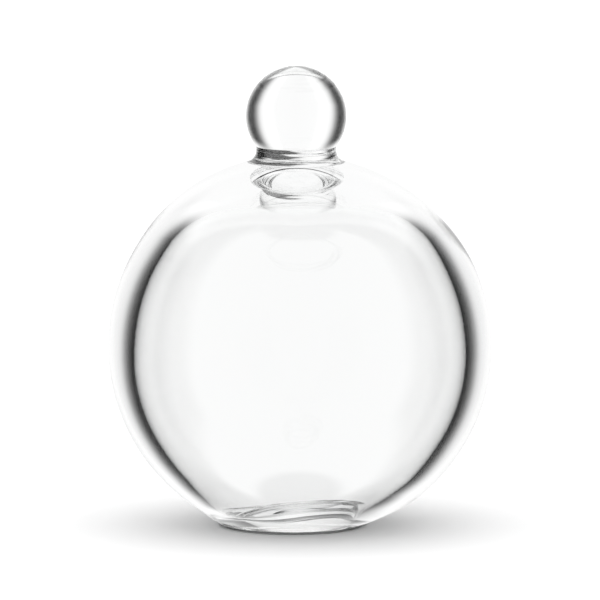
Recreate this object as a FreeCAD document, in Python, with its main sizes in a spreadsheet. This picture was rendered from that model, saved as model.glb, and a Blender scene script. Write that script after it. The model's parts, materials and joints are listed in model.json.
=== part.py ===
"""Bell jar dome: a round, thick-walled, mouth-blown glass dome with a ball knob.

The dome stands on a ground rim around its open mouth. The part's frame has +Z up along the
axis of revolution, and its origin at the centre of the rim plane. Millimetres.

Pieces, from the rim upwards, each a solid of revolution:
  dome_shell   blown body: round outside, a rounded cavity inside, an open mouth and a ground rim
  knob_collar  waist of glass between the body and the ball, flared where it is fused to the body
  knob_ball    solid ball that fingers lift the dome by
Each fused joint is a flat disc, where one piece ends and the next begins.
"""
import FreeCAD, Part
import math
import os

import Sketcher

# ---------------------------------------------------------------- driving dimensions
DIMENSIONS = [
    # alias, value, meaning
    ("body_radius", 65.0, "outside radius of the blown body"),
    ("body_centre", 61.0, "height of the body's centre above the rim plane"),
    ("foot_radius", 24.6, "outside radius of the foot ring, at the ground rim"),
    ("foot_height", 1.9, "height of the foot ring's outer wall"),
    ("foot_draft", 0.7, "how much wider the foot ring is at its top than at the rim"),
    ("ledge_height", 2.3, "height of the edge where the round body turns in to the foot ring"),
    ("ledge_round", 0.3, "rounding of the ledge's two edges"),
    ("mouth_radius", 21.0, "radius of the open mouth"),
    ("rim_bevel", 0.5, "bevel on both edges of the ground rim"),
    ("lip_round", 1.0, "rounding of the lip, where the mouth opens into the cavity"),
    ("flank_radius", 62.0, "radius of the arc from the lip up to the cavity's wide part"),
    ("flank_top", 32.8, "height where that arc ends"),
    ("cavity_radius", 56.1, "radius of the cavity at its widest, and of its wide part"),
    ("cavity_centre", 59.0, "height of the cavity's widest circle"),
    ("cavity_top", 115.0, "height of the cavity's crown"),
    ("side_radius", 62.0, "radius of the arc above the cavity's widest circle"),
    ("shoulder_radius", 40.0, "radius of the arc at the cavity's shoulder"),
    ("crown_radius", 66.0, "radius of the arc at the cavity's crown"),
    ("waist_radius", 13.6, "radius of the waist between body and ball"),
    ("flare_radius", 4.0, "radius of the hollow flare from the waist out to the body"),
    ("crease_round", 0.5, "rounding of the waist's upper edge, which makes the crease"),
    ("ball_radius", 17.0, "radius of the ball"),
    ("ball_centre", 139.5, "height of the ball's centre above the rim plane"),
]

document = FreeCAD.newDocument("BellJarDome")
sheet = document.addObject("Spreadsheet::Sheet", "Sizes")
for row, (alias, value, meaning) in enumerate(DIMENSIONS, start=1):
    sheet.set(f"A{row}", meaning)
    sheet.set(f"B{row}", str(value))
    sheet.setAlias(f"B{row}", alias)
document.recompute()
SIZE = {alias: value for alias, value, _ in DIMENSIONS}

# The flare's arc touches the waist and the body from outside, so its centre lies on a circle
# of radius body + flare about the body's centre. The seat is where the arc touches the body.
FLARE_X = "(Sizes.waist_radius + Sizes.flare_radius)"
FLARE_RISE = f"sqrt((Sizes.body_radius + Sizes.flare_radius)^2 - {FLARE_X}^2)"
TOUCH_SHARE = "Sizes.body_radius / (Sizes.body_radius + Sizes.flare_radius)"
SEAT_RADIUS = f"{FLARE_X} * {TOUCH_SHARE}"
SEAT_HEIGHT = f"Sizes.body_centre + {FLARE_RISE} * {TOUCH_SHARE}"
# The ball is cut off flat where it has become as narrow as the waist.
CREASE_HEIGHT = "Sizes.ball_centre - sqrt(Sizes.ball_radius^2 - Sizes.waist_radius^2)"

# the same places as numbers, where the sketches are first drawn
flare_x = SIZE["waist_radius"] + SIZE["flare_radius"]
flare_angle = math.acos(flare_x / (SIZE["body_radius"] + SIZE["flare_radius"]))
flare_height = SIZE["body_centre"] + (SIZE["body_radius"] + SIZE["flare_radius"]) * math.sin(flare_angle)
seat_radius = SIZE["body_radius"] * math.cos(flare_angle)
seat_height = SIZE["body_centre"] + SIZE["body_radius"] * math.sin(flare_angle)
crease_height = SIZE["ball_centre"] - math.sqrt(SIZE["ball_radius"] ** 2 - SIZE["waist_radius"] ** 2)

# ---------------------------------------------------------------- sketching
START, END, CENTRE = 1, 2, 3
ORIGIN = (-1, START)
VERTICAL_AXIS = -2


def at(x, z):
    return FreeCAD.Vector(x, z, 0)


def line(x1, z1, x2, z2):
    return Part.LineSegment(at(x1, z1), at(x2, z2))


def arc(x, z, radius, start_angle, end_angle):
    """Anticlockwise arc about (x, z), from one angle to the other, in radians."""
    return Part.ArcOfCircle(Part.Circle(at(x, z), FreeCAD.Vector(0, 0, 1), radius), start_angle, end_angle)


def new_body(name):
    body = document.addObject("PartDesign::Body", name)
    body.Label = name
    body.Placement = FreeCAD.Placement()
    return body


def profile_sketch(body, name, outline):
    """Sketch on the body's own XZ plane: a closed outline, each piece starting where the last ended."""
    sketch = body.newObject("Sketcher::SketchObject", name)
    plane = next(item for item in body.Origin.OriginFeatures if item.Role == "XZ_Plane")
    sketch.AttachmentSupport = [(plane, "")]
    sketch.MapMode = "FlatFace"
    sketch.addGeometry(outline, False)
    return sketch


def bind(sketch, name, constraint, expression):
    """Add a named size to a sketch, and let the sheet drive it."""
    index = sketch.addConstraint(constraint)
    sketch.renameConstraint(index, name)
    sketch.setExpression(f"Constraints.{name}", expression)


def height_of(sketch, name, geometry, end, expression):
    """Height of a point above the rim plane."""
    now = sketch.getPoint(geometry, end).y
    bind(sketch, name, Sketcher.Constraint("DistanceY", *ORIGIN, geometry, end, now), expression)


def reach_of(sketch, name, geometry, end, expression):
    """Distance of a point from the axis."""
    now = sketch.getPoint(geometry, end).x
    bind(sketch, name, Sketcher.Constraint("DistanceX", *ORIGIN, geometry, end, now), expression)


def radius_of(sketch, name, geometry, expression):
    now = sketch.Geometry[geometry].Radius
    bind(sketch, name, Sketcher.Constraint("Radius", geometry, now), expression)


def join(sketch, first, first_end, second, second_end, kind="Coincident"):
    sketch.addConstraint(Sketcher.Constraint(kind, first, first_end, second, second_end))


def on_axis(sketch, geometry, end):
    sketch.addConstraint(Sketcher.Constraint("PointOnObject", geometry, end, VERTICAL_AXIS))


def hold(sketch, kind, geometry):
    sketch.addConstraint(Sketcher.Constraint(kind, geometry))


def full_turn(body, kind, name, sketch):
    """Revolve a profile all the way round the sketch's vertical axis."""
    feature = body.newObject(kind, name)
    feature.Profile = sketch
    feature.ReferenceAxis = (sketch, ["V_Axis"])
    feature.Angle = 360.0
    document.recompute()
    return feature


def circle_edge(feature, radius, height):
    """Name of the feature's round edge with this radius at this height."""
    for number, edge in enumerate(feature.Shape.Edges, start=1):
        curve = edge.Curve
        if isinstance(curve, Part.Circle):
            if abs(curve.Radius - radius) < 1e-4 and abs(curve.Center.z - height) < 1e-4:
                return f"Edge{number}"
    raise ValueError(f"no round edge of radius {radius} at height {height}")


# ---------------------------------------------------------------- dome_shell
def make_dome_shell():
    body = new_body("dome_shell")
    centre, radius = SIZE["body_centre"], SIZE["body_radius"]

    # The round body ends at a narrow ledge just over the rim, and a shallow foot ring stands under it.
    foot_top = SIZE["foot_radius"] + SIZE["foot_draft"]
    ledge_angle = math.asin((SIZE["ledge_height"] - centre) / radius)
    ledge_radius = radius * math.cos(ledge_angle)
    outside = profile_sketch(body, "outside_profile", [
        line(0, 0, SIZE["foot_radius"], 0),
        line(SIZE["foot_radius"], 0, foot_top, SIZE["foot_height"]),
        line(foot_top, SIZE["foot_height"], ledge_radius, SIZE["ledge_height"]),
        arc(0, centre, radius, ledge_angle, flare_angle),
        line(seat_radius, seat_height, 0, seat_height),
        line(0, seat_height, 0, 0),
    ])
    rim, foot, ledge, side, seat, axis = range(6)
    join(outside, rim, START, *ORIGIN)
    join(outside, rim, END, foot, START)
    join(outside, foot, END, ledge, START)
    join(outside, ledge, END, side, START)
    join(outside, side, END, seat, START)
    join(outside, seat, END, axis, START)
    join(outside, axis, END, rim, START)
    hold(outside, "Horizontal", rim)
    hold(outside, "Horizontal", seat)
    hold(outside, "Vertical", axis)
    on_axis(outside, side, CENTRE)
    reach_of(outside, "foot_radius", rim, END, "Sizes.foot_radius")
    reach_of(outside, "foot_top", foot, END, "Sizes.foot_radius + Sizes.foot_draft")
    height_of(outside, "foot_height", foot, END, "Sizes.foot_height")
    height_of(outside, "ledge_height", ledge, END, "Sizes.ledge_height")
    radius_of(outside, "body_radius", side, "Sizes.body_radius")
    height_of(outside, "body_centre", side, CENTRE, "Sizes.body_centre")
    height_of(outside, "seat_height", seat, START, SEAT_HEIGHT)
    full_turn(body, "PartDesign::Revolution", "Outside", outside)

    # The cavity: five arcs, each tangent to the next, up the flank, round the wide part, up the
    # side, over the shoulder and across the crown. The mouth is a short straight wall below them.
    middle, widest = SIZE["cavity_centre"], SIZE["cavity_radius"]
    side_x = widest - SIZE["side_radius"]
    crown_z = SIZE["cavity_top"] - SIZE["crown_radius"]
    to_side = SIZE["side_radius"] - SIZE["shoulder_radius"]
    to_crown = SIZE["crown_radius"] - SIZE["shoulder_radius"]
    apart = math.hypot(side_x, crown_z - middle)
    along = (to_side ** 2 - to_crown ** 2 + apart ** 2) / (2 * apart)
    across = math.sqrt(to_side ** 2 - along ** 2)
    unit_x, unit_z = -side_x / apart, (crown_z - middle) / apart
    shoulder_x = side_x + along * unit_x - across * unit_z
    shoulder_z = middle + along * unit_z + across * unit_x
    side_angle = math.atan2(shoulder_z - middle, shoulder_x - side_x)
    crown_angle = math.atan2(shoulder_z - crown_z, shoulder_x)
    flank_angle = math.asin((SIZE["flank_top"] - middle) / widest)
    flank_x = (widest - SIZE["flank_radius"]) * math.cos(flank_angle)
    flank_z = middle + (widest - SIZE["flank_radius"]) * math.sin(flank_angle)
    lip_angle = -math.acos((SIZE["mouth_radius"] - flank_x) / SIZE["flank_radius"])
    lip_height = flank_z + SIZE["flank_radius"] * math.sin(lip_angle)
    inside = profile_sketch(body, "cavity_profile", [
        line(0, 0, SIZE["mouth_radius"], 0),
        line(SIZE["mouth_radius"], 0, SIZE["mouth_radius"], lip_height),
        arc(flank_x, flank_z, SIZE["flank_radius"], lip_angle, flank_angle),
        arc(0, middle, widest, flank_angle, 0),
        arc(side_x, middle, SIZE["side_radius"], 0, side_angle),
        arc(shoulder_x, shoulder_z, SIZE["shoulder_radius"], side_angle, crown_angle),
        arc(0, crown_z, SIZE["crown_radius"], crown_angle, math.pi / 2),
        line(0, SIZE["cavity_top"], 0, 0),
    ])
    floor, mouth, flank, wide, side, shoulder, crown, axis = range(8)
    join(inside, floor, START, *ORIGIN)
    join(inside, floor, END, mouth, START)
    join(inside, mouth, END, flank, START)
    join(inside, flank, END, wide, START, "Tangent")
    join(inside, wide, END, side, START, "Tangent")
    join(inside, side, END, shoulder, START, "Tangent")
    join(inside, shoulder, END, crown, START, "Tangent")
    join(inside, crown, END, axis, START)
    join(inside, axis, END, floor, START)
    hold(inside, "Horizontal", floor)
    hold(inside, "Vertical", mouth)
    hold(inside, "Vertical", axis)
    on_axis(inside, wide, CENTRE)
    on_axis(inside, crown, CENTRE)
    reach_of(inside, "mouth_radius", mouth, START, "Sizes.mouth_radius")
    radius_of(inside, "flank_radius", flank, "Sizes.flank_radius")
    height_of(inside, "flank_top", flank, END, "Sizes.flank_top")
    radius_of(inside, "cavity_radius", wide, "Sizes.cavity_radius")
    height_of(inside, "cavity_centre", wide, CENTRE, "Sizes.cavity_centre")
    height_of(inside, "widest_height", side, CENTRE, "Sizes.cavity_centre")
    radius_of(inside, "side_radius", side, "Sizes.side_radius")
    radius_of(inside, "shoulder_radius", shoulder, "Sizes.shoulder_radius")
    radius_of(inside, "crown_radius", crown, "Sizes.crown_radius")
    height_of(inside, "cavity_top", crown, END, "Sizes.cavity_top")
    cavity = full_turn(body, "PartDesign::Groove", "Cavity", inside)

    bevels = body.newObject("PartDesign::Chamfer", "RimBevels")
    bevels.Base = (cavity, [circle_edge(cavity, SIZE["foot_radius"], 0),
                            circle_edge(cavity, SIZE["mouth_radius"], 0)])
    bevels.setExpression("Size", "Sizes.rim_bevel")
    document.recompute()

    lip = body.newObject("PartDesign::Fillet", "LipRound")
    lip.Base = (bevels, [circle_edge(bevels, SIZE["mouth_radius"], lip_height)])
    lip.setExpression("Radius", "Sizes.lip_round")
    document.recompute()

    ledge_rounds = body.newObject("PartDesign::Fillet", "LedgeRounds")
    ledge_rounds.Base = (lip, [circle_edge(lip, foot_top, SIZE["foot_height"]),
                               circle_edge(lip, ledge_radius, SIZE["ledge_height"])])
    ledge_rounds.setExpression("Radius", "Sizes.ledge_round")
    return body


# ---------------------------------------------------------------- knob_collar
def make_knob_collar():
    body = new_body("knob_collar")
    profile = profile_sketch(body, "waist_profile", [
        line(0, seat_height, seat_radius, seat_height),
        arc(flare_x, flare_height, SIZE["flare_radius"], math.pi, math.pi + flare_angle),
        line(SIZE["waist_radius"], flare_height, SIZE["waist_radius"], crease_height),
        line(SIZE["waist_radius"], crease_height, 0, crease_height),
        line(0, crease_height, 0, seat_height),
    ])
    seat, flare, waist, top, axis = range(5)
    join(profile, seat, END, flare, END)
    join(profile, flare, START, waist, START, "Tangent")
    join(profile, waist, END, top, START)
    join(profile, top, END, axis, START)
    join(profile, axis, END, seat, START)
    hold(profile, "Horizontal", seat)
    hold(profile, "Horizontal", top)
    on_axis(profile, seat, START)
    on_axis(profile, top, END)
    height_of(profile, "seat_height", seat, END, SEAT_HEIGHT)
    reach_of(profile, "seat_radius", seat, END, SEAT_RADIUS)
    radius_of(profile, "flare_radius", flare, "Sizes.flare_radius")
    reach_of(profile, "waist_radius", waist, START, "Sizes.waist_radius")
    hold(profile, "Vertical", waist)
    height_of(profile, "crease_height", top, END, CREASE_HEIGHT)
    waist_solid = full_turn(body, "PartDesign::Revolution", "Waist", profile)

    crease = body.newObject("PartDesign::Fillet", "Crease")
    crease.Base = (waist_solid, [circle_edge(waist_solid, SIZE["waist_radius"], crease_height)])
    crease.setExpression("Radius", "Sizes.crease_round")
    return body


# ---------------------------------------------------------------- knob_ball
def make_knob_ball():
    body = new_body("knob_ball")
    start_angle = -math.acos(SIZE["waist_radius"] / SIZE["ball_radius"])
    top_height = SIZE["ball_centre"] + SIZE["ball_radius"]
    profile = profile_sketch(body, "ball_profile", [
        line(0, crease_height, SIZE["waist_radius"], crease_height),
        arc(0, SIZE["ball_centre"], SIZE["ball_radius"], start_angle, math.pi / 2),
        line(0, top_height, 0, crease_height),
    ])
    flat, ball, axis = range(3)
    join(profile, flat, END, ball, START)
    join(profile, ball, END, axis, START)
    join(profile, axis, END, flat, START)
    hold(profile, "Horizontal", flat)
    on_axis(profile, flat, START)
    on_axis(profile, ball, CENTRE)
    on_axis(profile, ball, END)
    radius_of(profile, "ball_radius", ball, "Sizes.ball_radius")
    height_of(profile, "ball_centre", ball, CENTRE, "Sizes.ball_centre")
    height_of(profile, "crease_height", flat, START, CREASE_HEIGHT)
    full_turn(body, "PartDesign::Revolution", "Ball", profile)
    return body


# ---------------------------------------------------------------- build, check and write
bodies = [make_dome_shell(), make_knob_collar(), make_knob_ball()]
document.recompute()

for item in document.Objects:
    if "Invalid" in item.State or "Error" in item.State:
        raise RuntimeError(f"{item.Name} failed: {item.State}")
for body in bodies:
    for feature in body.Group:
        if feature.TypeId == "Sketcher::SketchObject" and feature.solve() != 0:
            raise RuntimeError(f"{feature.Name} can't be solved")
    if body.Shape.isNull() or not body.Shape.isValid() or len(body.Shape.Solids) != 1:
        raise RuntimeError(f"{body.Label} isn't one valid solid")

os.makedirs("parts", exist_ok=True)
for body in bodies:
    body.Shape.exportStep(f"parts/{body.Label}.step")
    box = body.Shape.optimalBoundingBox()
    print(f"{body.Label}: {body.Shape.Volume:.0f} mm3, z {box.ZMin:.2f} to {box.ZMax:.2f}, "
          f"width {box.XLength:.2f}")
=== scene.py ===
"""Looks of the bell jar dome: a mouth-blown, thick-walled clear glass dome with a ball knob.

Each CAD solid is replaced by a dense, smooth mesh of the same size with the small marks of hand
work: a foot, a mouth and a knob slightly off the axis, a cavity that leans, jack marks at the waist
and a ground rim. Metres, +Z up, in the CAD model's frame.
"""
import json
import math

import bpy
import numpy as np
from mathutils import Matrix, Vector


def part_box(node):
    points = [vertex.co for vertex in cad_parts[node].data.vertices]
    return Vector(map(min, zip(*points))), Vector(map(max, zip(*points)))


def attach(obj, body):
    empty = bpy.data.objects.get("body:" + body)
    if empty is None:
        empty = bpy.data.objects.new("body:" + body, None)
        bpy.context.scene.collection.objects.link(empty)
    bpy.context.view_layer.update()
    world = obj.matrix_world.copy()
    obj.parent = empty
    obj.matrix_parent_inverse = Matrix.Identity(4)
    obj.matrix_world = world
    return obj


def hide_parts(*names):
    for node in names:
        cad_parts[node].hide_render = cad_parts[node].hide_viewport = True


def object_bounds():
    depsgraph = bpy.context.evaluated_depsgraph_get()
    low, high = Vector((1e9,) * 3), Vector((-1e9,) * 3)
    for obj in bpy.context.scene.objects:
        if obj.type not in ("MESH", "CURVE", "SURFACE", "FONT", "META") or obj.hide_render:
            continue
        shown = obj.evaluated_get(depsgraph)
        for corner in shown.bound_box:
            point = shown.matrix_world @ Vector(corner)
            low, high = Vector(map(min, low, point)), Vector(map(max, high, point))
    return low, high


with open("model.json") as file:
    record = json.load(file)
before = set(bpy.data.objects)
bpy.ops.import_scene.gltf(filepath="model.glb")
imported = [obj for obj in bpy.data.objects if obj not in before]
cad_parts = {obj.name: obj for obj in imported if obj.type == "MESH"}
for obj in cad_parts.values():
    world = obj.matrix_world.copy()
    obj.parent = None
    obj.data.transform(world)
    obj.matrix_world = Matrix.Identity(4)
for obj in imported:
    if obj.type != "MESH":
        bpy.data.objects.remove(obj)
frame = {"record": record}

MM = 0.001
CAD_LOW, CAD_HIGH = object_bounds()

# ---------------------------------------------------------------- sizes, from the frame
shell_low, shell_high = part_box("dome_shell")
collar_low, collar_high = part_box("knob_collar")
ball_low, ball_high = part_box("knob_ball")
mounts = {mount["name"]: mount for mount in frame["record"]["mounts"]}

BODY_RADIUS = (shell_high.x - shell_low.x) / 2
SEAT_RADIUS = (collar_high.x - collar_low.x) / 2
SEAT_Z = shell_high.z
BODY_Z = SEAT_Z - math.sqrt(BODY_RADIUS ** 2 - SEAT_RADIUS ** 2)
BALL_RADIUS = (ball_high.x - ball_low.x) / 2
BALL_Z = ball_high.z - BALL_RADIUS
CREASE_Z = ball_low.z
WAIST_RADIUS = math.sqrt(BALL_RADIUS ** 2 - (BALL_Z - CREASE_Z) ** 2)
MOUTH_RADIUS = mounts["mouth"]["dims"]["r_mm"] * MM

# sizes that the frame doesn't state, the same as in the CAD model
FOOT_RADIUS = 24.6 * MM
FOOT_TOP = 1.9 * MM
FOOT_DRAFT = 0.7 * MM
LEDGE_Z = 2.3 * MM
LEDGE_ROUND = 0.35 * MM
LEDGE_INNER_ROUND = 0.3 * MM
RIM_BEVEL = 0.5 * MM
CREASE_ROUND = 0.5 * MM
FLARE_RADIUS = 4.0 * MM
CAVITY_RADIUS = 56.1 * MM
CAVITY_Z = 59.0 * MM
CAVITY_TOP = 115.0 * MM
SIDE_RADIUS = 62 * MM
SHOULDER_RADIUS = 40 * MM
CROWN_RADIUS = 66 * MM
FLANK_TOP = 32.8 * MM
FLANK_RADIUS = 62 * MM
LIP_ROUND = 1.0 * MM

# ---------------------------------------------------------------- marks of hand work
GROUND_AND_SHADOW_HEIGHT = 0.95 * MM     # the grinding reaches this far up the foot's wall, and so does the painted contact shadow of the near-black edge
AIR_FILM = 0.03 * MM          # gap drawn at the knob's seat, as if a film of air were shut in there
FILM_RADIUS = SEAT_RADIUS - 0.1 * MM
FOOT_OFF = -2.7 * MM          # the foot ring lies off the body's axis
FOOT_FADE = 8.2 * MM          # and about this far up the body is true again,
FOOT_FADE_SKEW = 0.22         # further up on one side by this share, and less far on the other
MOUTH_OFF = -0.85 * MM        # the mouth is off the axis too
MOUTH_FADE = 16 * MM          # and this far up the cavity follows the body
CAVITY_LEAN = 0.006           # the cavity's lower half leans, as run over rise
LIP_TILT = 0.014              # the lip is higher at one side, as rise over run
LIP_START = 4 * MM            # the tilt is full between this height
LIP_FADE = (6 * MM, 22 * MM)  # and the first of these, and gone at the second
CROWN_TILT = 0.006            # the cavity's crown leans, as rise over run
CROWN_FADE = (26 * MM, 4 * MM)  # from the first of these below the crown, and fully at the second
KNOB_OFF = -1.3 * MM          # the knob is off the axis
KNOB_FADE = 34 * MM           # from this far below the seat the body follows it
# height above the seat, depth, half width, lean (all in mm) and deepest side of each groove of the jacks
JACK_MARKS = ((2.6, 0.12, 0.35, 0.3, -2.6), (3.5, 0.16, 0.35, 0.3, -2.2), (4.5, 0.18, 0.35, 0.2, -2.5))
MARKS_START = (1.6 * MM, 2.4 * MM)  # above the seat, where the grooves fade in
MARKS_END = 0.6 * MM          # below the crease, where they begin to fade out
SEGMENTS = 320


def smooth_step(low, high, value):
    t = np.clip((value - low) / (high - low), 0, 1)
    return t * t * (3 - 2 * t)


def jack_marks(angle, z):
    """Shallow grooves round the waist, deeper on one side, in metres."""
    total = np.zeros_like(angle)
    for height, depth, half, lean, deepest in JACK_MARKS:
        middle = SEAT_Z + (height + lean * np.cos(angle - deepest + 1)) * MM
        strength = np.clip(0.25 + 0.75 * np.cos(angle - deepest), 0, 1)
        total -= depth * MM * strength * np.exp(-((z - middle) / (half * MM)) ** 2)
    return total


def follow_knob(z):
    """How far the body and its cavity are drawn sideways under the knob, in metres."""
    return KNOB_OFF * smooth_step(SEAT_Z - KNOB_FADE, SEAT_Z, z)


def worked_body(points):
    """Body from outside: drawn out low down towards the foot ring, and high up towards the knob."""
    x, y, z = points.T
    angle = np.arctan2(y, x)
    fade = FOOT_FADE * (1 + FOOT_FADE_SKEW * np.cos(angle))
    drawn = FOOT_OFF * (1 - smooth_step(0, fade, z)) * np.cos(angle) ** 2
    return np.column_stack([x + drawn + follow_knob(z), y, z])


def worked_foot(points):
    """Foot ring: off the axis."""
    x, y, z = points.T
    return np.column_stack([x + FOOT_OFF, y, z])


def worked_rim(points):
    """The ground ring between foot and mouth, each of them off the axis by its own amount."""
    x, y, z = points.T
    share = np.clip((np.hypot(x, y) - MOUTH_RADIUS) / (FOOT_RADIUS - MOUTH_RADIUS), 0, 1)
    return np.column_stack([x + MOUTH_OFF + (FOOT_OFF - MOUTH_OFF) * share, y, z])


def worked_knob(points):
    """Collar and ball: off the axis, with the marks of the jacks at the waist."""
    x, y, z = points.T
    angle = np.arctan2(y, x)
    radius = np.hypot(x, y)
    marked = smooth_step(SEAT_Z + MARKS_START[0], SEAT_Z + MARKS_START[1], z)
    marked = marked * (1 - smooth_step(CREASE_Z - MARKS_END, CREASE_Z, z))
    radius = radius + marked * jack_marks(angle, z)
    return np.column_stack([radius * np.cos(angle) + KNOB_OFF, radius * np.sin(angle), z])


def worked_inside(points):
    """Cavity: leaning below its widest circle, with a leaning crown and lip."""
    x, y, z = points.T
    leaning = CAVITY_LEAN * np.minimum(z - CAVITY_Z, 0) + follow_knob(z)
    new_x = x + leaning + (MOUTH_OFF - leaning) * (1 - smooth_step(0, MOUTH_FADE, z))
    crown = CROWN_TILT * smooth_step(CAVITY_TOP - CROWN_FADE[0], CAVITY_TOP - CROWN_FADE[1], z)
    lip = LIP_TILT * smooth_step(RIM_BEVEL, LIP_START, z) * (1 - smooth_step(*LIP_FADE, z))
    return np.column_stack([new_x, y, z + (crown + lip) * new_x])


# ---------------------------------------------------------------- mesh building
def arc(centre_r, centre_z, radius, start, end, steps):
    """Points of an arc from one angle to the other, in radians, both ends included."""
    angles = np.linspace(start, end, steps + 1)
    return np.column_stack([centre_r + radius * np.cos(angles), centre_z + radius * np.sin(angles)])


def rounded_corner(before, corner, after, radius, steps=8):
    """An arc tangent to both sides of a corner of an outline."""
    before, corner, after = map(np.asarray, (before, corner, after))
    to_before = (before - corner) / np.linalg.norm(before - corner)
    to_after = (after - corner) / np.linalg.norm(after - corner)
    half = math.acos(np.clip(to_before @ to_after, -1, 1)) / 2
    middle = to_before + to_after
    centre = corner + middle / np.linalg.norm(middle) * radius / math.sin(half)
    first = corner + to_before * radius / math.tan(half) - centre
    last = corner + to_after * radius / math.tan(half) - centre
    start, end = math.atan2(first[1], first[0]), math.atan2(last[1], last[0])
    if end - start > math.pi:
        end -= 2 * math.pi
    if start - end > math.pi:
        end += 2 * math.pi
    return arc(centre[0], centre[1], radius, start, end, steps)


def revolved(name, stretches, materials):
    """A closed mesh turned from an outline that starts and ends on the axis.

    stretches is a list of (outline points, material number, working function), with the glass on
    the right-hand side all along; a stretch starts at the last point of the one before it.
    """
    turns = np.linspace(0, 2 * math.pi, SEGMENTS, endpoint=False)
    vertices, faces, face_materials = [], [], []
    previous, count = None, 0
    for outline, material, work in stretches:
        for step, (r, z) in enumerate(outline):
            if previous is not None and step == 0 and len(outline) > 1:
                continue
            if r < 1e-7:
                ring = np.array([[0.0, 0.0, z]])
            else:
                ring = np.column_stack([r * np.cos(turns), r * np.sin(turns), np.full(SEGMENTS, z)])
            vertices.append(work(ring))
            start = count
            count += len(ring)
            if previous is not None:
                low, low_size = previous
                for k in range(SEGMENTS):
                    n = (k + 1) % SEGMENTS
                    if low_size == 1:
                        face = (low, start + k, start + n)
                    elif len(ring) == 1:
                        face = (low + k, start, low + n)
                    else:
                        face = (low + k, start + k, start + n, low + n)
                    faces.append(face)
                    face_materials.append(material)
            previous = (start, len(ring))
    mesh = bpy.data.meshes.new(name)
    mesh.from_pydata(np.concatenate(vertices).tolist(), [], faces)
    for material in materials:
        mesh.materials.append(material)
    mesh.polygons.foreach_set("material_index", face_materials)
    mesh.polygons.foreach_set("use_smooth", [True] * len(faces))
    mesh.set_sharp_from_angle(angle=math.radians(25))
    mesh.validate()
    thing = bpy.data.objects.new(name, mesh)
    bpy.context.scene.collection.objects.link(thing)
    return thing


# ---------------------------------------------------------------- materials
class Nodes:
    """A short way to write a material's node tree."""

    def __init__(self, tree):
        self.tree = tree
        tree.nodes.clear()

    def add(self, kind, **settings):
        node = self.tree.nodes.new(kind)
        for name, value in settings.items():
            setattr(node, name, value)
        return node

    def link(self, source, target):
        self.tree.links.new(source, target)


def new_material(name):
    material = bpy.data.materials.new(name)
    material.use_nodes = True
    return material, Nodes(material.node_tree)


def glass_shader(nodes, tint, roughness):
    shader = nodes.add("ShaderNodeBsdfPrincipled")
    shader.inputs["Base Color"].default_value = (*tint, 1)
    shader.inputs["Transmission Weight"].default_value = 1.0
    shader.inputs["IOR"].default_value = 1.5
    shader.inputs["Roughness"].default_value = roughness
    output = nodes.add("ShaderNodeOutputMaterial")
    nodes.link(shader.outputs["BSDF"], output.inputs["Surface"])
    return shader


def noise_bump(nodes, shader, scale, detail, strength, height):
    """Unevenness from a noise: scale in waves a metre, height in metres."""
    place = nodes.add("ShaderNodeTexCoord")
    noise = nodes.add("ShaderNodeTexNoise")
    noise.inputs["Scale"].default_value = scale
    noise.inputs["Detail"].default_value = detail
    nodes.link(place.outputs["Object"], noise.inputs["Vector"])
    bump = nodes.add("ShaderNodeBump")
    bump.inputs["Strength"].default_value = strength
    bump.inputs["Distance"].default_value = height
    nodes.link(noise.outputs["Fac"], bump.inputs["Height"])
    nodes.link(bump.outputs["Normal"], shader.inputs["Normal"])


def clear_glass():
    """Fire-polished blown glass: faint long waves in the surface."""
    material, nodes = new_material("clear_glass")
    shader = glass_shader(nodes, (0.993, 0.996, 0.995), 0.0)
    noise_bump(nodes, shader, scale=30, detail=1, strength=1, height=0.02 * MM)
    return material


def ground_glass():
    """The flat ring that was ground true: a fine matt grain."""
    material, nodes = new_material("ground_glass")
    shader = glass_shader(nodes, (0.97, 0.975, 0.975), 0.35)
    noise_bump(nodes, shader, scale=2500, detail=3, strength=0.6, height=0.05 * MM)
    return material


def ground_edge_painted_shadow():
    """The narrow bevel round the ground ring and the foot's wall just above it: coarser, and nearly black,
    which is a painted contact shadow where the rim stands on the floor.
    """
    material, nodes = new_material("ground_edge_painted_shadow")
    shader = glass_shader(nodes, (0.02, 0.021, 0.021), 0.5)
    noise_bump(nodes, shader, scale=1500, detail=3, strength=0.7, height=0.08 * MM)
    return material


# Painted shade at the waist: dark streaks in the glass's colour, heavier towards one side.
STREAK_SCALE = (60, 60, 1100)       # streaks a metre, along x, y and up
DARK_SIDE = (0.85, 0.53, 0)         # the streaks are thinner the further a point lies this way
DARK_RANGE = (-13 * MM, -1 * MM)    # over this stretch of it
DARK_SHARE = (-0.22, 0.25)          # what is added to the noise at its two ends
STREAK_EDGE = (0.40, 0.52)          # dark below the first of these, clear above the second
STREAK_DARK = (0.02, 0.02, 0.02, 1)
STREAK_CLEAR = (0.99, 0.993, 0.992)


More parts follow.
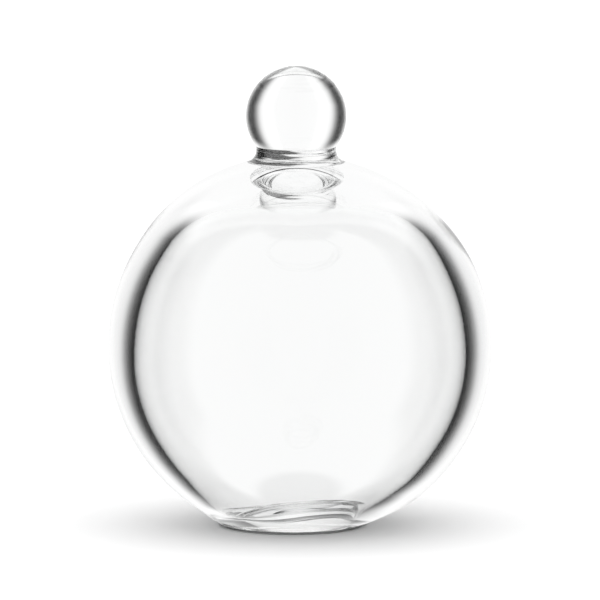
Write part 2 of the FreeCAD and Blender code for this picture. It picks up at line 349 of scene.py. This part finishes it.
def waist_painted_shade():
    """The waist, where the jacks turned: painted shade in dark streaks running round, thicker towards one
    side.
    """
    material, nodes = new_material("waist_painted_shade")
    shader = glass_shader(nodes, STREAK_CLEAR, 0.0)
    place = nodes.add("ShaderNodeTexCoord")
    stretch = nodes.add("ShaderNodeMapping")
    stretch.inputs["Scale"].default_value = STREAK_SCALE
    nodes.link(place.outputs["Object"], stretch.inputs["Vector"])
    streaks = nodes.add("ShaderNodeTexNoise")
    streaks.inputs["Scale"].default_value = 1.0
    streaks.inputs["Detail"].default_value = 4.0
    nodes.link(stretch.outputs["Vector"], streaks.inputs["Vector"])
    across = nodes.add("ShaderNodeVectorMath", operation="DOT_PRODUCT")
    across.inputs[1].default_value = DARK_SIDE
    nodes.link(place.outputs["Object"], across.inputs[0])
    side = nodes.add("ShaderNodeMapRange")
    side.inputs["From Min"].default_value, side.inputs["From Max"].default_value = DARK_RANGE
    side.inputs["To Min"].default_value, side.inputs["To Max"].default_value = DARK_SHARE
    nodes.link(across.outputs["Value"], side.inputs["Value"])
    total = nodes.add("ShaderNodeMath", operation="ADD")
    nodes.link(streaks.outputs["Fac"], total.inputs[0])
    nodes.link(side.outputs["Result"], total.inputs[1])
    ramp = nodes.add("ShaderNodeValToRGB")
    colours = (STREAK_DARK, (*STREAK_CLEAR, 1))
    for stop, position, colour in zip(ramp.color_ramp.elements, STREAK_EDGE, colours):
        stop.position = position
        stop.color = colour
    nodes.link(total.outputs[0], ramp.inputs["Fac"])
    nodes.link(ramp.outputs["Color"], shader.inputs["Base Color"])
    return material


def fused_joint():
    """Where two pieces ran together hot there is no surface, so light passes straight on."""
    material, nodes = new_material("fused_joint")
    shader = nodes.add("ShaderNodeBsdfTransparent")
    output = nodes.add("ShaderNodeOutputMaterial")
    nodes.link(shader.outputs["BSDF"], output.inputs["Surface"])
    return material


# the ground edge is nearly black, a painted contact shadow, and the waist carries painted shade in dark
# streaks
GLASS, GROUND, SHADOW_EDGE, WAIST_SHADE, JOINT = 0, 1, 2, 3, 4
glasses = [clear_glass(), ground_glass(), ground_edge_painted_shadow(), waist_painted_shade(), fused_joint()]

# ---------------------------------------------------------------- the three pieces
# angles in radians
NEARBY = 0.02           # from the lip to the next point that gives the flank's direction
LEDGE_NEARBY = 0.01     # the same for the body above the ledge
LEDGE_START = 0.008     # the body's arc stops this short of the ledge, where the rounding starts
LIP_START_SHARE = 1.1   # the flank's arc starts this many lip roundings from the lip
SHADE_STEPS = 40       # so many of the flare's 48 steps carry the painted shade streaks

flare_r = WAIST_RADIUS + FLARE_RADIUS
flare_z = BODY_Z + math.sqrt((BODY_RADIUS + FLARE_RADIUS) ** 2 - flare_r ** 2)
seat_angle = math.atan2(flare_z - BODY_Z, flare_r)


def tangent_arc(first, second, radius):
    """Centre of an arc inside both circles, given as (r, z, radius), that touches both."""
    apart = math.hypot(second[0] - first[0], second[1] - first[1])
    to_first, to_second = abs(first[2] - radius), abs(second[2] - radius)
    along = (to_first ** 2 - to_second ** 2 + apart ** 2) / (2 * apart)
    across = math.sqrt(to_first ** 2 - along ** 2)
    unit_r, unit_z = (second[0] - first[0]) / apart, (second[1] - first[1]) / apart
    return first[0] + along * unit_r - across * unit_z, first[1] + along * unit_z + across * unit_r


def cavity_outline():
    """Up the mouth's wall, over the lip, along the flank, wide part, side and shoulder to the crown."""
    flank_angle = -math.asin((CAVITY_Z - FLANK_TOP) / CAVITY_RADIUS)
    outward = np.array([math.cos(flank_angle), math.sin(flank_angle)])
    flank = np.array([0, CAVITY_Z]) - outward * (FLANK_RADIUS - CAVITY_RADIUS)
    lip_angle = -math.acos((MOUTH_RADIUS - flank[0]) / FLANK_RADIUS)
    lip = (MOUTH_RADIUS, flank[1] + FLANK_RADIUS * math.sin(lip_angle))
    next_angle = lip_angle + NEARBY
    just_past = flank + np.array([math.cos(next_angle), math.sin(next_angle)]) * FLANK_RADIUS
    past_lip = lip_angle + LIP_ROUND * LIP_START_SHARE / FLANK_RADIUS

    side_r = CAVITY_RADIUS - SIDE_RADIUS
    crown_z = CAVITY_TOP - CROWN_RADIUS
    side, crown = (side_r, CAVITY_Z, SIDE_RADIUS), (0, crown_z, CROWN_RADIUS)
    shoulder_r, shoulder_z = tangent_arc(side, crown, SHOULDER_RADIUS)
    side_angle = math.atan2(shoulder_z - CAVITY_Z, shoulder_r - side_r)
    crown_angle = math.atan2(shoulder_z - crown_z, shoulder_r)
    return np.concatenate([
        [(MOUTH_RADIUS, RIM_BEVEL), (MOUTH_RADIUS, lip[1] / 2)],
        rounded_corner((MOUTH_RADIUS, 0), lip, just_past, LIP_ROUND),
        arc(flank[0], flank[1], FLANK_RADIUS, past_lip, flank_angle, 36),
        arc(0, CAVITY_Z, CAVITY_RADIUS, flank_angle, 0, 28)[1:],
        arc(side_r, CAVITY_Z, SIDE_RADIUS, 0, side_angle, 26)[1:],
        arc(shoulder_r, shoulder_z, SHOULDER_RADIUS, side_angle, crown_angle, 36)[1:],
        arc(0, crown_z, CROWN_RADIUS, crown_angle, math.pi / 2, 10)[1:-1],
        [(0, CAVITY_TOP)],
    ])


def make_shell():
    film_z = SEAT_Z - AIR_FILM
    ledge_angle = math.asin((LEDGE_Z - BODY_Z) / BODY_RADIUS)
    ledge = (BODY_RADIUS * math.cos(ledge_angle), LEDGE_Z)
    neck_in = (FOOT_RADIUS + FOOT_DRAFT, FOOT_TOP)
    bevel_up = (FOOT_RADIUS + RIM_BEVEL * FOOT_DRAFT / FOOT_TOP, RIM_BEVEL)
    ground_shadow_top = (FOOT_RADIUS + GROUND_AND_SHADOW_HEIGHT * FOOT_DRAFT / FOOT_TOP, GROUND_AND_SHADOW_HEIGHT)
    above_angle = ledge_angle + LEDGE_NEARBY
    above = (BODY_RADIUS * math.cos(above_angle), BODY_Z + BODY_RADIUS * math.sin(above_angle))
    body = arc(0, BODY_Z, BODY_RADIUS, seat_angle, ledge_angle + LEDGE_START, 124)
    foot = np.concatenate([rounded_corner(ledge, neck_in, bevel_up, LEDGE_INNER_ROUND, 6), [ground_shadow_top]])
    return revolved("dome_glass", [
        (np.array([(0, film_z), (FILM_RADIUS, film_z)]), GLASS, worked_knob),
        (np.array([(FILM_RADIUS, film_z), (SEAT_RADIUS, SEAT_Z)]), JOINT, worked_knob),
        (body, GLASS, worked_body),
        (rounded_corner(above, ledge, neck_in, LEDGE_ROUND, 6), GLASS, worked_body),
        (foot, GLASS, worked_foot),
        # near-black here is a painted contact shadow, up the foot's wall and round the bevel
        (np.array([ground_shadow_top, bevel_up]), SHADOW_EDGE, worked_foot),
        (np.array([bevel_up, (FOOT_RADIUS - RIM_BEVEL, 0)]), SHADOW_EDGE, worked_rim),
        (np.linspace((FOOT_RADIUS - RIM_BEVEL, 0), (MOUTH_RADIUS + RIM_BEVEL, 0), 5), GROUND, worked_rim),
        (np.array([(MOUTH_RADIUS + RIM_BEVEL, 0), (MOUTH_RADIUS, RIM_BEVEL)]), GLASS, worked_rim),
        (cavity_outline(), GLASS, worked_inside),
    ], glasses)


def make_collar():
    flare = arc(flare_r, flare_z, FLARE_RADIUS, math.pi, seat_angle + math.pi, 48)
    crease = rounded_corner((0, CREASE_Z), (WAIST_RADIUS, CREASE_Z), (WAIST_RADIUS, flare_z), CREASE_ROUND)
    waist = np.linspace(crease[-1], flare[0], 12)
    return revolved("collar_glass", [
        (np.array([(0, CREASE_Z), crease[0]]), JOINT, worked_knob),
        # the crease, the waist and most of the flare carry the painted shade streaks
        (crease, WAIST_SHADE, worked_knob),
        (waist, WAIST_SHADE, worked_knob),
        (flare[:SHADE_STEPS + 1], WAIST_SHADE, worked_knob),
        (flare[SHADE_STEPS:], GLASS, worked_knob),
        (np.array([flare[-1], (FILM_RADIUS, SEAT_Z)]), JOINT, worked_knob),
        (np.array([(FILM_RADIUS, SEAT_Z), (0, SEAT_Z)]), GLASS, worked_knob),
    ], glasses)


def make_ball():
    end = math.atan2(CREASE_Z - BALL_Z, WAIST_RADIUS)
    return revolved("ball_glass", [
        (np.array([(0.0, BALL_Z + BALL_RADIUS)]), GLASS, worked_knob),
        (arc(0, BALL_Z, BALL_RADIUS, math.pi / 2, end, 80)[1:], GLASS, worked_knob),
        (np.array([(WAIST_RADIUS, CREASE_Z), (WAIST_RADIUS - CREASE_ROUND, CREASE_Z)]), GLASS, worked_knob),
        (np.array([(WAIST_RADIUS - CREASE_ROUND, CREASE_Z), (0, CREASE_Z)]), JOINT, worked_knob),
    ], glasses)


for make, node, slot in ((make_shell, "dome_shell", "dome_glass"),
                         (make_collar, "knob_collar", "knob_glass"),
                         (make_ball, "knob_ball", "knob_glass")):
    piece = make()
    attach(piece, "root")
    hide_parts(node)

# ---------------------------------------------------------------- studio
EYE_ELEVATION = math.radians(7.5)
EYE_DISTANCE = 4.0
WIDTHS_IN_FRAME = 1.5625      # so many body widths fit across the picture
FRAME_WIDTH = WIDTHS_IN_FRAME * 2 * BODY_RADIUS
AIM_DROP = 1.5 * MM           # the camera aims this far below the middle of the dome
SENSOR = 36.0                 # in millimetres, as the camera counts it
FLOOR_SIZE = 400.0            # from the middle to each side, so that it meets the horizon
FLOOR_GAP = 0.02 * MM         # keeps the floor and the rim's face apart
HORIZON_LIGHT = 1.05
OVERHEAD_LIGHT = 1.6


def make_camera():
    data = bpy.data.cameras.new("camera")
    data.sensor_width = SENSOR
    data.lens = SENSOR * EYE_DISTANCE / FRAME_WIDTH
    data.clip_end = 1000
    camera = bpy.data.objects.new("camera", data)
    aim = (CAD_LOW + CAD_HIGH) / 2 - Vector((0, 0, AIM_DROP))
    back = Vector((0, -math.cos(EYE_ELEVATION), math.sin(EYE_ELEVATION)))
    camera.location = aim + back * EYE_DISTANCE
    camera.rotation_mode = "QUATERNION"
    camera.rotation_quaternion = (-back).to_track_quat("-Z", "Y")
    bpy.context.scene.collection.objects.link(camera)
    bpy.context.scene.camera = camera


def make_floor():
    mesh = bpy.data.meshes.new("floor")
    corners = [(x * FLOOR_SIZE, y * FLOOR_SIZE, 0) for x, y in ((-1, -1), (1, -1), (1, 1), (-1, 1))]
    mesh.from_pydata(corners, [], [(0, 1, 2, 3)])
    floor = bpy.data.objects.new("floor", mesh)
    floor.location.z = CAD_LOW.z - FLOOR_GAP
    bpy.context.scene.collection.objects.link(floor)
    material, nodes = new_material("floor_paper")
    shader = nodes.add("ShaderNodeBsdfDiffuse")
    shader.inputs["Color"].default_value = (0.88, 0.88, 0.88, 1)
    output = nodes.add("ShaderNodeOutputMaterial")
    nodes.link(shader.outputs["BSDF"], output.inputs["Surface"])
    mesh.materials.append(material)
    floor.visible_transmission = False
    floor.visible_glossy = False


def make_world():
    world = bpy.data.worlds.new("studio_white")
    world.use_nodes = True
    nodes = Nodes(world.node_tree)
    place = nodes.add("ShaderNodeTexCoord")
    split = nodes.add("ShaderNodeSeparateXYZ")
    nodes.link(place.outputs["Generated"], split.inputs[0])
    rise = nodes.add("ShaderNodeMapRange", interpolation_type="SMOOTHSTEP")
    rise.inputs["From Min"].default_value = 0.2
    rise.inputs["From Max"].default_value = 0.9
    rise.inputs["To Min"].default_value = HORIZON_LIGHT
    rise.inputs["To Max"].default_value = OVERHEAD_LIGHT
    nodes.link(split.outputs["Z"], rise.inputs["Value"])
    background = nodes.add("ShaderNodeBackground")
    background.inputs["Color"].default_value = (1, 1, 1, 1)
    nodes.link(rise.outputs["Result"], background.inputs["Strength"])
    output = nodes.add("ShaderNodeOutputWorld")
    nodes.link(background.outputs["Background"], output.inputs["Surface"])
    bpy.context.scene.world = world


# The light tent, which only the glass sees. It stands still: white behind the dome as seen from the
# front, dark flags at both sides, white again towards the front and overhead. Brightness goes by the
# angle from straight behind, in degrees.
TENT_RADIUS = 0.55
TENT_FLOOR = -2.2
TENT_ROOF = 1.06
TENT_LIGHT = [(0, 1.0), (17, 1.02), (22, 1.1), (28, 1.1), (32.5, 0.98), (35.3, 0.82), (38.2, 0.6), (41, 0.36),
              (44, 0.19), (47, 0.06), (51, 0.0), (80, 0.0), (86, 0.3), (94, 1.0), (180, 1.0)]
FLAG_LEAN = 18.0              # the flags lean in over and under the glass, in degrees a metre
FLAG_TOP = (0.34, 0.52)       # the flags fade out between these heights
TABLE_SHADE = (-2.05, -1.35)  # and the light itself fades out downwards between these
TENT_STRENGTH = 0.97


def tent_mesh(segments=192):
    turns = np.linspace(0, 2 * math.pi, segments, endpoint=False)
    rings = [np.column_stack([TENT_RADIUS * np.cos(turns), TENT_RADIUS * np.sin(turns), np.full(segments, z)])
             for z in (TENT_FLOOR, TENT_ROOF)]
    faces = [(k, (k + 1) % segments, segments + (k + 1) % segments, segments + k) for k in range(segments)]
    faces.append(tuple(range(segments)))
    faces.append(tuple(range(segments, 2 * segments)))
    mesh = bpy.data.meshes.new("tent")
    mesh.from_pydata(np.concatenate(rings).tolist(), [], faces)
    return mesh


def make_tent():
    mesh = tent_mesh()
    tent = bpy.data.objects.new("tent", mesh)
    bpy.context.scene.collection.objects.link(tent)
    material, nodes = new_material("tent_light")
    place = nodes.add("ShaderNodeTexCoord")
    split = nodes.add("ShaderNodeSeparateXYZ")
    nodes.link(place.outputs["Object"], split.inputs[0])
    turn = nodes.add("ShaderNodeMath", operation="ARCTAN2")
    nodes.link(split.outputs["X"], turn.inputs[0])
    nodes.link(split.outputs["Y"], turn.inputs[1])
    size = nodes.add("ShaderNodeMath", operation="ABSOLUTE")
    nodes.link(turn.outputs[0], size.inputs[0])
    share = nodes.add("ShaderNodeMath", operation="DIVIDE")
    share.inputs[1].default_value = math.pi
    nodes.link(size.outputs[0], share.inputs[0])
    height = nodes.add("ShaderNodeMath", operation="ABSOLUTE")
    nodes.link(split.outputs["Z"], height.inputs[0])
    closing = nodes.add("ShaderNodeMath", operation="MULTIPLY_ADD")
    closing.inputs[1].default_value = FLAG_LEAN / 180
    nodes.link(height.outputs[0], closing.inputs[0])
    nodes.link(share.outputs[0], closing.inputs[2])
    ramp = nodes.add("ShaderNodeValToRGB")
    nodes.link(closing.outputs[0], ramp.inputs["Fac"])
    stops = ramp.color_ramp.elements
    while len(stops) < len(TENT_LIGHT):
        stops.new(0.5)
    for stop, (degrees, value) in zip(stops, TENT_LIGHT):
        stop.position = degrees / 180
        stop.color = (value, value, value, 1)
    over = nodes.add("ShaderNodeMapRange", interpolation_type="SMOOTHSTEP")
    over.inputs["From Min"].default_value = FLAG_TOP[0]
    over.inputs["From Max"].default_value = FLAG_TOP[1]
    nodes.link(split.outputs["Z"], over.inputs["Value"])
    blend = nodes.add("ShaderNodeMix", data_type="RGBA")
    nodes.link(over.outputs["Result"], blend.inputs[0])
    nodes.link(ramp.outputs["Color"], blend.inputs[6])
    blend.inputs[7].default_value = (1, 1, 1, 1)
    under = nodes.add("ShaderNodeMapRange", interpolation_type="SMOOTHSTEP")
    under.inputs["From Min"].default_value = TABLE_SHADE[0]
    under.inputs["From Max"].default_value = TABLE_SHADE[1]
    under.inputs["To Max"].default_value = TENT_STRENGTH
    nodes.link(split.outputs["Z"], under.inputs["Value"])
    glow = nodes.add("ShaderNodeEmission")
    nodes.link(under.outputs["Result"], glow.inputs["Strength"])
    nodes.link(blend.outputs[2], glow.inputs["Color"])
    output = nodes.add("ShaderNodeOutputMaterial")
    nodes.link(glow.outputs[0], output.inputs["Surface"])
    material.cycles.emission_sampling = "NONE"
    mesh.materials.append(material)
    tent.visible_camera = False
    tent.visible_diffuse = False
    tent.visible_shadow = False


def set_light_paths():
    scene = bpy.context.scene
    scene.view_settings.view_transform = "Standard"
    cycles = scene.cycles
    cycles.max_bounces = 96
    cycles.transmission_bounces = 96
    cycles.glossy_bounces = 64
    cycles.transparent_max_bounces = 32
    cycles.caustics_refractive = True
    cycles.caustics_reflective = True
    cycles.use_denoising = True


make_floor()
make_world()
make_camera()
make_tent()
set_light_paths()
